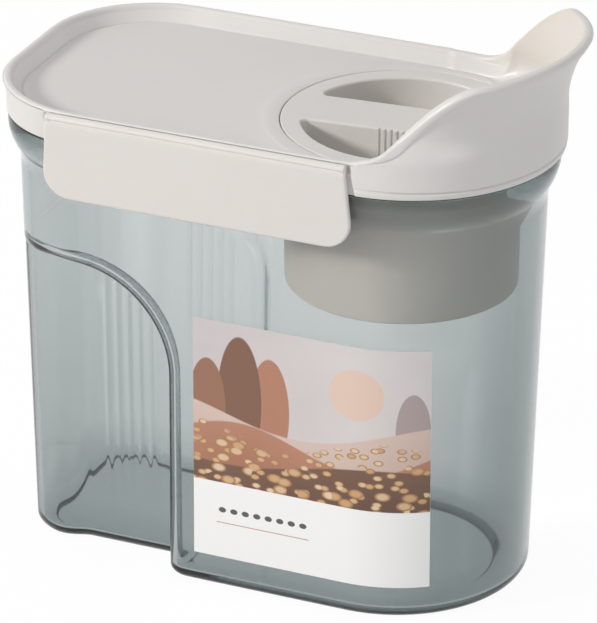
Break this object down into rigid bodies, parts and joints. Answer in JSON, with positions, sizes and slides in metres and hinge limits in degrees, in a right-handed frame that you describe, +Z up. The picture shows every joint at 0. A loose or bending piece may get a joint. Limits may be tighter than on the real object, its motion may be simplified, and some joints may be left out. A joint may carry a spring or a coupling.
{
  "type": "cereal container",
  "caption": "Tall transparent food box with grip recesses, a lid with a fixed flared pouring spout and locking wings, and a lift-out round measuring cup as stopper.",
  "frame": {"origin": "centre of the container's foot, on the face it stands on", "axes": "+Z up out of the mouth, +X towards the round end under the spout, +Y towards the rear wing; the label faces -Y"},
  "size_m": [0.1905, 0.103, 0.1916],
  "materials": {
    "clear_body": "smooth transparent smoky plastic",
    "lid": "fine matt, warm light grey",
    "wing": "fine matt, warm light grey",
    "cup": "fine matt, warm light grey",
    "seal": "soft translucent white",
    "label": "printed satin film"
  },
  "bodies": {
    "container": {"container_body": "clear_body", "front_label": "label"},
    "lid": {"lid": "lid", "lid_gasket": "seal"},
    "front_wing": {"front_wing": "wing"},
    "rear_wing": {"rear_wing": "wing"},
    "cup_seal": {"cup_seal": "seal"},
    "measuring_cup": {"measuring_cup": "cup"}
  },
  "joints": [
    {"name": "lid_lift", "type": "slide", "parent": "container", "child": "lid", "axis": [0, 0, 1], "range_m": [0, 0.09]},
    {"name": "front_wing_hinge", "type": "hinge", "parent": "lid", "child": "front_wing", "pos_m": [-0.0102, -0.0499, 0.1596], "axis": [-1, 0, 0], "range_deg": [0, 100]},
    {"name": "rear_wing_hinge", "type": "hinge", "parent": "lid", "child": "rear_wing", "pos_m": [-0.0102, 0.0499, 0.1596], "axis": [1, 0, 0], "range_deg": [0, 100]},
    {"name": "cup_lift", "type": "slide", "parent": "lid", "child": "cup_seal", "axis": [0, 0, 1], "range_m": [0, 0.07]},
    {"name": "cup_turn", "type": "hinge", "parent": "cup_seal", "child": "measuring_cup", "pos_m": [0.0394, 0, 0.15], "axis": [0, 0, 1], "continuous": true}
  ]
}
